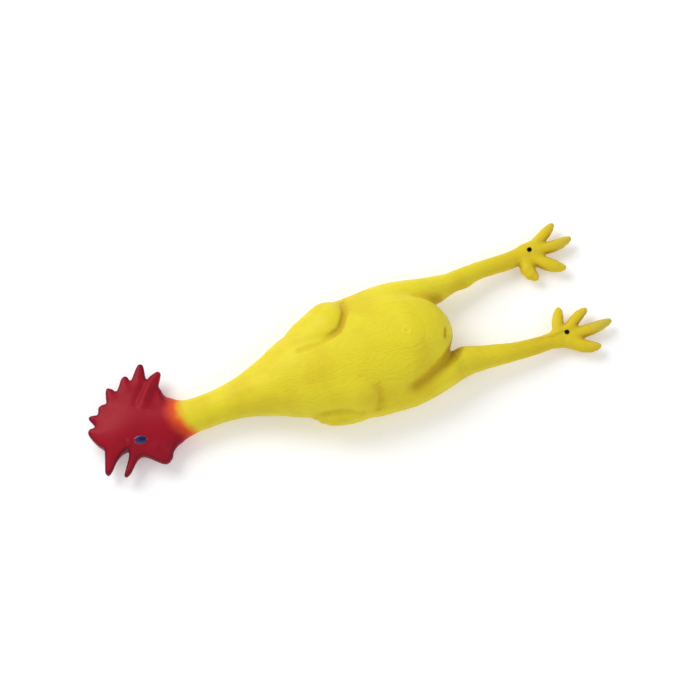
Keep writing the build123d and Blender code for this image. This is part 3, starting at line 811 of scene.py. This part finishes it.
def latex(name):
    """The finish of every skin zone. Its colours change along X, in metres, and with the marks."""
    material, shader = finish(name)
    place = node(material, "Attribute", attribute_name="rest").outputs["Vector"]
    axes = node(material, "SeparateXYZ", {"Vector": place}).outputs
    crease_shade_mark = node(material, "Attribute", attribute_name="crease").outputs["Fac"]
    rim_mark = node(material, "Attribute", attribute_name="rim").outputs["Fac"]
    hole_mark = node(material, "Attribute", attribute_name="hole").outputs["Fac"]
    along_flow = node(material, "Attribute", attribute_name="flow").outputs["Vector"]

    cloudy = node(material, "TexNoise", {"Vector": place, "Scale": 28.0, "Detail": 4.0}).outputs["Fac"]
    body = blend_colour(material, ramp(material, cloudy, 0.38, 0.68, 0, 0.22), YELLOW, DEEP_YELLOW)
    body = blend_colour(material, ramp(material, axes["X"], 0.11, 0.17, 0, 0.7), body, LEG_YELLOW)
    body = blend_colour(material, ramp(material, axes["X"], 0.205, 0.232, 0, 0.35), body, TOE_GREY)
    # painted shade: the creases turn a deeper yellow, as if less light reached them
    body = blend_colour(material, maths(material, "MULTIPLY", crease_shade_mark, 0.8), body, DEEP_YELLOW)

    # the spray reaches further down the neck at its two edges than in the middle
    off_middle = maths(material, "SUBTRACT", axes["Y"], 0.007)
    edge_reach = maths(material, "MULTIPLY", maths(material, "MULTIPLY", off_middle, off_middle), 24.0)
    edge_reach = maths(material, "MINIMUM", edge_reach, 0.016)
    mist = node(material, "TexNoise", {"Vector": place, "Scale": 170.0, "Detail": 5.0}).outputs["Fac"]
    spray = maths(material, "SUBTRACT", axes["X"], edge_reach)
    speckle = maths(material, "MULTIPLY", maths(material, "SUBTRACT", mist, 0.5), 0.005)
    spray = maths(material, "ADD", spray, speckle)
    orange_share = ramp(material, spray, -0.1465, -0.159)
    red_share = ramp(material, spray, -0.154, -0.170)
    red = blend_colour(material, ramp(material, cloudy, 0.35, 0.7, 0, 0.3), RED, DARK_RED)
    red = blend_colour(material, maths(material, "MULTIPLY", rim_mark, 0.7), red, RIM_PURPLE)
    # painted shade in the creases of the red parts too
    red = blend_colour(material, maths(material, "MULTIPLY", crease_shade_mark, 0.6), red, DARK_RED)
    painted = blend_colour(material, maths(material, "MULTIPLY", orange_share, 0.92), body, SPRAY_ORANGE)
    painted = blend_colour(material, red_share, painted, red)
    # painted shade: near black inside the hang holes
    colour = blend_colour(material, hole_mark, painted, HOLE_SHADE_BROWN)
    material.node_tree.links.new(colour, shader.inputs["Base Color"])

    gloss = maths(material, "ADD", ramp(material, cloudy, 0.3, 0.7, 0.40, 0.50),
                  maths(material, "MULTIPLY", red_share, -0.08))
    material.node_tree.links.new(gloss, shader.inputs["Roughness"])
    wrinkle = node(material, "TexNoise", {"Vector": along_flow, "Scale": 0.62, "Detail": 3.0}).outputs["Fac"]
    pores = node(material, "TexNoise", {"Vector": place, "Scale": 900.0, "Detail": 3.0}).outputs["Fac"]
    by_place = maths(material, "MULTIPLY", ramp(material, axes["X"], -0.16, -0.06, 0.15, 1.0),
                     ramp(material, axes["Y"], 0.03, -0.02, 0.5, 1.0))
    rough = maths(material, "ADD", maths(material, "MULTIPLY", wrinkle, by_place),
                  maths(material, "MULTIPLY", pores, 0.18))
    bump = node(material, "Bump", {"Height": rough, "Strength": 0.8, "Distance": 0.0008})
    material.node_tree.links.new(bump.outputs[0], shader.inputs["Normal"])
    shader.inputs["Subsurface Weight"].default_value = 0.12
    shader.inputs["Subsurface Radius"].default_value = (1.0, 0.6, 0.15)
    shader.inputs["Subsurface Scale"].default_value = 0.003
    material.node_tree.links.new(ramp(material, red_share, 0, 1, 0.15, 0.08), shader.inputs["Specular IOR Level"])
    return material


SKIN_FINISH = {slot: latex(slot) for slot in ("yellow_latex", "leg_latex", "red_latex")}
print("finishes:", ", ".join(SKIN_FINISH))

# %% [markdown]
# ## Putting the skin on the bodies
# Every zone now gets its finish and stands for the CAD nodes that it covers. A rigid zone rides on one body. A zone
# that lies between two bodies is fixed where it was built.

# %% Rigid zones
def dress(obj, slot, *nodes):
    """Hides the CAD nodes that a piece stands for. The piece and its finish slot are not used."""
    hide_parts(*nodes)


for name, body, slot, nodes in [
    ("torso_skin", "torso", "yellow_latex", ["torso_skin"]),
    ("left_wing", "torso", "yellow_latex", ["left_wing"]),
    ("right_wing", "torso", "yellow_latex", ["right_wing"]),
    ("closing_patch", "belly", "yellow_latex", ["closing_patch"]),
]:
    made = shell(name, SKIN_FINISH[slot])
    dress(made, slot, *nodes)
    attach(made, body)
    print(name, len(made.data.polygons), "faces on", body)

# %% Zones between two bodies
def bends(name, slot, nodes, first, second):
    """A zone between the first and the second body, baked where it lies."""
    made = shell(name, SKIN_FINISH[slot])
    dress(made, slot, *nodes)
    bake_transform(made)
    print(name, len(made.data.polygons), "faces,", first, "to", second)


bends("belly_skin", "yellow_latex", ["belly_skin", "belly_flex"], "torso", "belly")
bends("neck_root", "yellow_latex", ["neck_root_flex", "neck_lower_skin"], "torso", "neck_lower")
bends("neck_middle", "yellow_latex", ["neck_middle_flex", "neck_middle_skin"], "neck_lower", "neck_middle")
bends("neck_top", "yellow_latex", ["neck_top_flex", "neck_upper_skin"], "neck_middle", "neck_upper")
bends("head_skin", "red_latex", ["head_nod_flex", "head_skin", "upper_beak"], "neck_upper", "head")
bends("comb", "red_latex", ["comb"], "head", "comb")
bends("lower_beak", "red_latex", ["lower_beak"], "head", "lower_beak")
bends("wattle", "red_latex", ["wattle"], "head", "wattle")
for side, y in (("left", 37), ("right", -38)):
    bends(side + "_thigh", "leg_latex", [side + "_hip_flex", side + "_thigh_skin"], "torso", side + "_thigh")
    bends(side + "_shank", "leg_latex", [side + "_hock_flex", side + "_shank_skin"], side + "_thigh", side + "_shank")
    bends(side + "_foot", "leg_latex", [side + "_ankle_flex", side + "_foot"], side + "_shank", side + "_foot")

# %% [markdown]
# ## Eyes
# Each eye is a low painted dome on the side of the head: a blue spray with soft edges and a black pupil towards the
# body. The dome is a few rings of vertices, and both colours come from the distance to the eye's middle.

# %% Eye paint
EYE_TILT = math.radians(-10)
EYE_CENTRE, EYE_RADII = (-192.5, -3.4), (6.6, 3.9)
EYE_START = 11.0                                            # mm above the parting plane, before it settles down
EYE_RISE, EYE_SINK, EYE_WALL = 1.1, 0.15, 0.6


def eye_paint():
    """Blue inside an oval and black inside a smaller one, both with a smeared edge, on red."""
    material, shader = finish("eye_paint")
    place = node(material, "TexCoord").outputs["Object"]
    to_middle = (-EYE_CENTRE[0] * MM, -EYE_CENTRE[1] * MM, 0)
    local = node(material, "Mapping", {"Vector": place, "Location": to_middle}, vector_type="POINT").outputs[0]
    turned = node(material, "VectorRotate", {"Vector": local, "Angle": -EYE_TILT},
                  rotation_type="Z_AXIS").outputs[0]
    axes = node(material, "SeparateXYZ", {"Vector": turned}).outputs
    wide = maths(material, "DIVIDE", axes["X"], EYE_RADII[0] * MM)
    high = maths(material, "DIVIDE", axes["Y"], EYE_RADII[1] * MM)
    smear = node(material, "TexNoise", {"Vector": place, "Scale": 420.0, "Detail": 3.0}).outputs["Fac"]
    squares = maths(material, "ADD", maths(material, "MULTIPLY", wide, wide),
                    maths(material, "MULTIPLY", high, high))
    reach = maths(material, "ADD", maths(material, "SQRT", squares), maths(material, "MULTIPLY", smear, 0.35))
    pupil_x = maths(material, "MULTIPLY", maths(material, "SUBTRACT", wide, 0.22), 0.8)
    pupil_y = maths(material, "MULTIPLY", maths(material, "SUBTRACT", high, 0.1), 1.1)
    pupil = maths(material, "SQRT", maths(material, "ADD", maths(material, "MULTIPLY", pupil_x, pupil_x),
                                          maths(material, "MULTIPLY", pupil_y, pupil_y)))
    pupil = maths(material, "ADD", pupil, maths(material, "MULTIPLY", smear, 0.2))
    colour = blend_colour(material, ramp(material, reach, 0.84, 1.2), tint(26, 36, 104), RED)
    colour = blend_colour(material, ramp(material, pupil, 0.62, 0.38), colour, tint(12, 12, 32))
    material.node_tree.links.new(colour, shader.inputs["Base Color"])
    shader.inputs["Roughness"].default_value = 0.25
    return material


def eye(name, up):
    """A low closed dome on one face of the head: up is 1 for the upper face and -1 for the lower."""
    rings, steps = 12, 48
    t = np.linspace(0, 1, rings + 1)[1:, None]
    angle = np.linspace(0, 2 * math.pi, steps, endpoint=False)[None, :]
    u, v = EYE_RADII[0] * t * np.cos(angle), EYE_RADII[1] * t * np.sin(angle)
    px = EYE_CENTRE[0] + u * math.cos(EYE_TILT) - v * math.sin(EYE_TILT)
    py = EYE_CENTRE[1] + u * math.sin(EYE_TILT) + v * math.cos(EYE_TILT)
    flat = np.stack([px.ravel(), py.ravel(), np.full(px.size, MID + up * EYE_START)], 1)
    flat = np.vstack([[*EYE_CENTRE, MID + up * EYE_START], flat])
    for _ in range(6):                                      # onto the head
        value, slope = clay.at(flat)
        flat[:, 2] -= np.clip(value, -2, 2) * np.sign(slope[:, 2])
    off_middle = np.concatenate([[0], np.repeat(t[:, 0], steps)])
    dome = EYE_RISE * np.sqrt(np.maximum(1 - off_middle ** 2, 0)) - EYE_SINK
    outer = flat + np.outer(dome, (0, 0, up))
    inner = flat + np.outer(np.minimum(dome, 0) - EYE_WALL, (0, 0, up))
    k = np.arange(steps)
    after = (k + 1) % steps
    ring = lambda r, at: 1 + r * steps + at
    tops = [np.stack([ring(r, k), ring(r + 1, k), ring(r + 1, after), ring(r, after)], 1)
            for r in range(rings - 1)]
    hub = np.stack([np.zeros(steps, int), ring(0, k), ring(0, after)], 1)
    count = len(flat)
    rim_faces = np.stack([ring(rings - 1, k), ring(rings - 1, k) + count, ring(rings - 1, after) + count,
                          ring(rings - 1, after)], 1)
    four = np.vstack([*tops, np.vstack(tops)[:, ::-1] + count, rim_faces])
    three = np.vstack([hub, hub[:, ::-1] + count])
    triangles = np.vstack([four[:, [0, 1, 2]], four[:, [0, 2, 3]], three])
    if up < 0:
        triangles = triangles[:, ::-1]
    return piece(name + "_dome", np.vstack([outer, inner]), triangles, EYE_FINISH)


EYE_FINISH = eye_paint()
for name in ("left_eye", "right_eye"):
    low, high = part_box(name)
    up = 1 if (low[2] + high[2]) / 2 / MM > MID else -1
    made = eye(name, up)
    dress(made, "eye_paint", name)
    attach(made, "head")
    print(name, "on the", "upper" if up > 0 else "lower", "face of the head")

# %% [markdown]
# ## Shapes that Geometry Nodes grow
# Two things in this toy repeat: the tufts of fibre on the wadding, and the grip ribs of the squeaker's cup. Each is
# modelled once and repeated by a node tree, so its number and size can be changed without touching the shape. The
# result is turned into a plain mesh in metres, because only plain meshes travel with the bodies.

# %% Running a node tree
def socket_id(tree, name):
    """What a modifier calls the input that the tree shows under a name."""
    return next(item.identifier for item in tree.interface.items_tree
                if item.name == name and item.in_out == "INPUT")


def grown(name, tree, start_mesh, inputs):
    """Runs a node tree on a mesh and returns the plain mesh that it makes."""
    seed = bpy.data.objects.new(name + "_seed", start_mesh)
    scene.collection.objects.link(seed)
    modifier = seed.modifiers.new("grow", "NODES")
    modifier.node_group = tree
    for label, value in inputs.items():
        modifier[socket_id(tree, label)] = value
    bpy.context.view_layer.update()
    mesh = bpy.data.meshes.new_from_object(seed.evaluated_get(bpy.context.evaluated_depsgraph_get()))
    seed.modifiers.clear()
    bpy.data.objects.remove(seed)
    return mesh


def new_tree(name, inputs):
    """An empty node tree with named inputs, and its first and last node."""
    tree = bpy.data.node_groups.new(name, "GeometryNodeTree")
    tree.interface.new_socket("Geometry", in_out="INPUT", socket_type="NodeSocketGeometry")
    tree.interface.new_socket("Geometry", in_out="OUTPUT", socket_type="NodeSocketGeometry")
    for label, kind in inputs.items():
        tree.interface.new_socket(label, in_out="INPUT", socket_type="NodeSocket" + kind)
    return tree, tree.nodes.new("NodeGroupInput"), tree.nodes.new("NodeGroupOutput")


def repeat(tree, given, result, points, shape, turn=None, size=None):
    """Ends a tree: a shape set on points, made real, with the finish put on."""
    spread = tree.nodes.new("GeometryNodeInstanceOnPoints")
    real, coat = tree.nodes.new("GeometryNodeRealizeInstances"), tree.nodes.new("GeometryNodeSetMaterial")
    for a, b in ((points, spread.inputs["Points"]), (shape, spread.inputs["Instance"]),
                 (turn, spread.inputs["Rotation"]), (size, spread.inputs["Scale"]),
                 (spread.outputs[0], real.inputs[0]), (real.outputs[0], coat.inputs["Geometry"]),
                 (given.outputs["Finish"], coat.inputs["Material"]), (coat.outputs[0], result.inputs[0])):
        if a is not None:
            tree.links.new(a, b)

# %% [markdown]
# ## Wadding
# Loose polyester fibre fills the trunk, neck and thighs, and keeps the latex plump. It isn't a sewn pad, so it is
# taken from the same clay: the shape a few millimetres inside the skin, cut at the bends and made lumpy. A coarse
# mesh is enough, because it is hidden inside. Small loops of fibre stand on it, set at random by a node tree.

# %% Lumpy stuffing
STRIDE = 3                                            # every third clay cell
FILL_DEPTH = 4.2
SIDE_GAP = 0.5
BELLY_ROOM = ((50, -1), (38, 32))                     # the oval left free for the squeaker: middle and radii
SQUEAKER = [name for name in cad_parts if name.startswith("squeaker_")]
SQUEEZE_ROOM = 8.5                                    # the squeaker sinks this far when the belly is pressed
BELLY_FLOOR = min(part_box(name)[0][2] for name in SQUEAKER) / MM - SQUEEZE_ROOM
END_GAP, END_DOME = 1.6, 0.016                        # domed ends leave room for the bends
coarse = clay.field[::STRIDE, ::STRIDE, ::STRIDE]
gx, gy, gz = np.ix_(*[tick[::STRIDE] for tick in clay.ticks])
LUMP_HEIGHT = 0.7
lumps = LUMP_HEIGHT * np.sin(gx / 4.1 + gy / 7) * np.sin(gy / 3.7 + 1) * np.sin(gz / 4.3 + gx / 9)

wool, wool_shader = finish("wadding")
tufts = node(wool, "TexNoise", {"Scale": 380.0, "Detail": 6.0}).outputs["Fac"]
fluff = blend_colour(wool, ramp(wool, tufts, 0.35, 0.65), tint(232, 230, 222), tint(250, 249, 245))
wool.node_tree.links.new(fluff, wool_shader.inputs["Base Color"])
fluff_bump = node(wool, "Bump", {"Height": tufts, "Strength": 0.7, "Distance": 0.0008})
wool.node_tree.links.new(fluff_bump.outputs[0], wool_shader.inputs["Normal"])
wool_shader.inputs["Roughness"].default_value = 0.95
wool_shader.inputs["Sheen Weight"].default_value = 0.3


def stuffing(node_name):
    """The vertices and faces of one zone's wadding, inside the box of its CAD node."""
    low, high = (np.array(corner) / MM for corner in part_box(node_name))
    block = coarse + FILL_DEPTH + lumps
    middle = (low + high) / 2
    dome = END_GAP + END_DOME * np.minimum((gy - middle[1]) ** 2 + (gz - middle[2]) ** 2, 500)
    block = np.maximum(block, np.maximum(low[0] + dome - gx, gx - high[0] + dome))
    block = np.maximum(block, np.maximum(low[1] + SIDE_GAP - gy, gy - high[1] + SIDE_GAP))
    if node_name == "torso_wadding":
        (bx, by), (rx, ry) = BELLY_ROOM
        column = np.minimum((1 - np.sqrt(((gx - bx) / rx) ** 2 + ((gy - by) / ry) ** 2)) * ry, gz - BELLY_FLOOR)
        block = np.maximum(block, column)
    return wrap(np.pad(block, 1, constant_values=OUTSIDE), clay.low - CELL * STRIDE, CELL * STRIDE)

# %% A tuft, repeated over the wadding
def tufts_tree():
    """A small loop of fibre, set at random over a surface and turned to stand on it."""
    tree, given, result = new_tree("tufts_on_wadding", {"Tufts per Area": "Float", "Seed": "Int", "Loop": "Float",
                                                        "Fibre": "Float", "Finish": "Material"})
    scatter = tree.nodes.new("GeometryNodeDistributePointsOnFaces")
    arc = tree.nodes.new("GeometryNodeCurveArc")
    thread = tree.nodes.new("GeometryNodeCurveToMesh")
    profile = tree.nodes.new("GeometryNodeCurvePrimitiveCircle")
    stand = tree.nodes.new("GeometryNodeTransform")
    size = tree.nodes.new("FunctionNodeRandomValue")
    for socket, value in ((arc.inputs["Resolution"], 7), (arc.inputs["Sweep Angle"], math.radians(210)),
                          (arc.inputs["Start Angle"], math.radians(-15)), (profile.inputs["Resolution"], 5),
                          (thread.inputs["Fill Caps"], True), (stand.inputs["Rotation"], (math.pi / 2, 0, 0)),
                          (size.inputs[2], 0.6), (size.inputs[3], 1.2)):
        socket.default_value = value
    for a, b in ((given.outputs["Geometry"], scatter.inputs["Mesh"]),
                 (given.outputs["Tufts per Area"], scatter.inputs["Density"]),
                 (given.outputs["Seed"], scatter.inputs["Seed"]), (given.outputs["Seed"], size.inputs["Seed"]),
                 (given.outputs["Loop"], arc.inputs["Radius"]), (given.outputs["Fibre"], profile.inputs["Radius"]),
                 (arc.outputs[0], thread.inputs["Curve"]), (profile.outputs[0], thread.inputs["Profile Curve"]),
                 (thread.outputs[0], stand.inputs["Geometry"])):
        tree.links.new(a, b)
    repeat(tree, given, result, scatter.outputs["Points"], stand.outputs[0], scatter.outputs["Rotation"],
           size.outputs[1])
    return tree


TUFTS = tufts_tree()

# %% Wadding in each body
WADDINGS = {name: name[:-len("_wadding")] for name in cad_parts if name.endswith("_wadding")}
TUFT_SETTINGS = {"Tufts per Area": 14000.0, "Seed": 3, "Loop": 0.0009, "Fibre": 0.00018, "Finish": wool}
for node_name, body in WADDINGS.items():
    points, faces = stuffing(node_name)
    made = piece(node_name.replace("_wadding", "_stuffing"), points, faces, wool)
    dress(made, "wadding", node_name)
    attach(made, body)
    tufts = grown(body + "_tufts", TUFTS, made.data.copy(), TUFT_SETTINGS)
    loops = bpy.data.objects.new(body + "_tufts", tufts)
    scene.collection.objects.link(loops)
    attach(loops, body)
    print(made.name, len(faces), "faces and", len(tufts.polygons), "in tufts, on", body)

# %% [markdown]
# ## Squeaker
# Behind the belly patch sits the squeaker: a hard plastic cup with a lid, and a reed in a small tube. These are
# exact machine-made shapes, so the CAD nodes stay as they are and only get finishes. Their round sides are plain,
# though, so the fine grip ribs of the cup are added as one repeated bar, set round a circle with Geometry Nodes.

# %% Hard plastic
MOTTLE = 0.86                                         # the darker of the plastic's two tones


def plastic(name, colour, roughness):
    material, shader = finish(name)
    mottle = node(material, "TexNoise", {"Scale": 300.0, "Detail": 4.0}).outputs["Fac"]
    dark = (*[c * MOTTLE for c in colour[:3]], 1)
    material.node_tree.links.new(blend_colour(material, ramp(material, mottle, 0.3, 0.7), dark, colour),
                                 shader.inputs["Base Color"])
    texture = node(material, "Bump", {"Height": mottle, "Strength": 0.15, "Distance": 0.0002})
    material.node_tree.links.new(texture.outputs[0], shader.inputs["Normal"])
    shader.inputs["Roughness"].default_value = roughness
    return material


SQUEAKER_FINISH = {"squeaker_barrel": plastic("squeaker_plastic", tint(236, 234, 226), 0.35),
                   "squeaker_reed_tube": plastic("reed_plastic", tint(214, 60, 52), 0.3)}
SQUEAKER_FINISH["squeaker_lid"] = SQUEAKER_FINISH["squeaker_barrel"]
SQUEAKER_FINISH["squeaker_reed"] = SQUEAKER_FINISH["squeaker_reed_tube"]
for name, material in SQUEAKER_FINISH.items():
    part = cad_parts[name]
    part.data.materials.clear()
    part.data.materials.append(material)
print("squeaker finished:", ", ".join(SQUEAKER_FINISH))

# %% Grip ribs round the cup
def ribs_tree():
    """One upright bar, repeated round a circle."""
    tree, given, result = new_tree("ribs_round_a_cup", {"Count": "Int", "Radius": "Float", "Rib Radius": "Float",
                                                        "Rib Height": "Float", "Finish": "Material"})
    circle, rib = tree.nodes.new("GeometryNodeMeshCircle"), tree.nodes.new("GeometryNodeMeshCylinder")
    rib.inputs["Vertices"].default_value = 8
    for label, socket in (("Count", circle.inputs["Vertices"]), ("Radius", circle.inputs["Radius"]),
                          ("Rib Radius", rib.inputs["Radius"]), ("Rib Height", rib.inputs["Depth"])):
        tree.links.new(given.outputs[label], socket)
    repeat(tree, given, result, circle.outputs["Mesh"], rib.outputs["Mesh"])
    return tree


cup_low, cup_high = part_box("squeaker_barrel")
cup_middle = (cup_low + cup_high) / 2
CUP_RADIUS = (cup_high[0] - cup_low[0]) / 2
RIB_COUNT, RIB_RADIUS, RIB_SHARE = 36, 0.0003, 0.7    # a rib takes this share of the cup's height
ribs = grown("ribs", ribs_tree(), bpy.data.meshes.new("empty"), {
    "Count": RIB_COUNT, "Radius": CUP_RADIUS, "Rib Radius": RIB_RADIUS,
    "Rib Height": (cup_high[2] - cup_low[2]) * RIB_SHARE, "Finish": SQUEAKER_FINISH["squeaker_barrel"]})
ribs.transform(Matrix.Translation(cup_middle))
cup_ribs = bpy.data.objects.new("squeaker_ribs", ribs)
scene.collection.objects.link(cup_ribs)
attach(cup_ribs, "belly")
print("ribs:", len(ribs.polygons), "faces round radius", round(CUP_RADIUS / MM, 1), "mm")

# %% [markdown]
# ## Size
# The CAD model's box and the visual model's box are printed side by side.

# %% The two boxes side by side
seen_low, seen_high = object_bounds()
for axis, a, b, c, d in zip("XYZ", cad_low, cad_high, seen_low, seen_high):
    print(axis, "CAD", round(a / MM, 1), round(b / MM, 1), "visual", round(c / MM, 1), round(d / MM, 1))
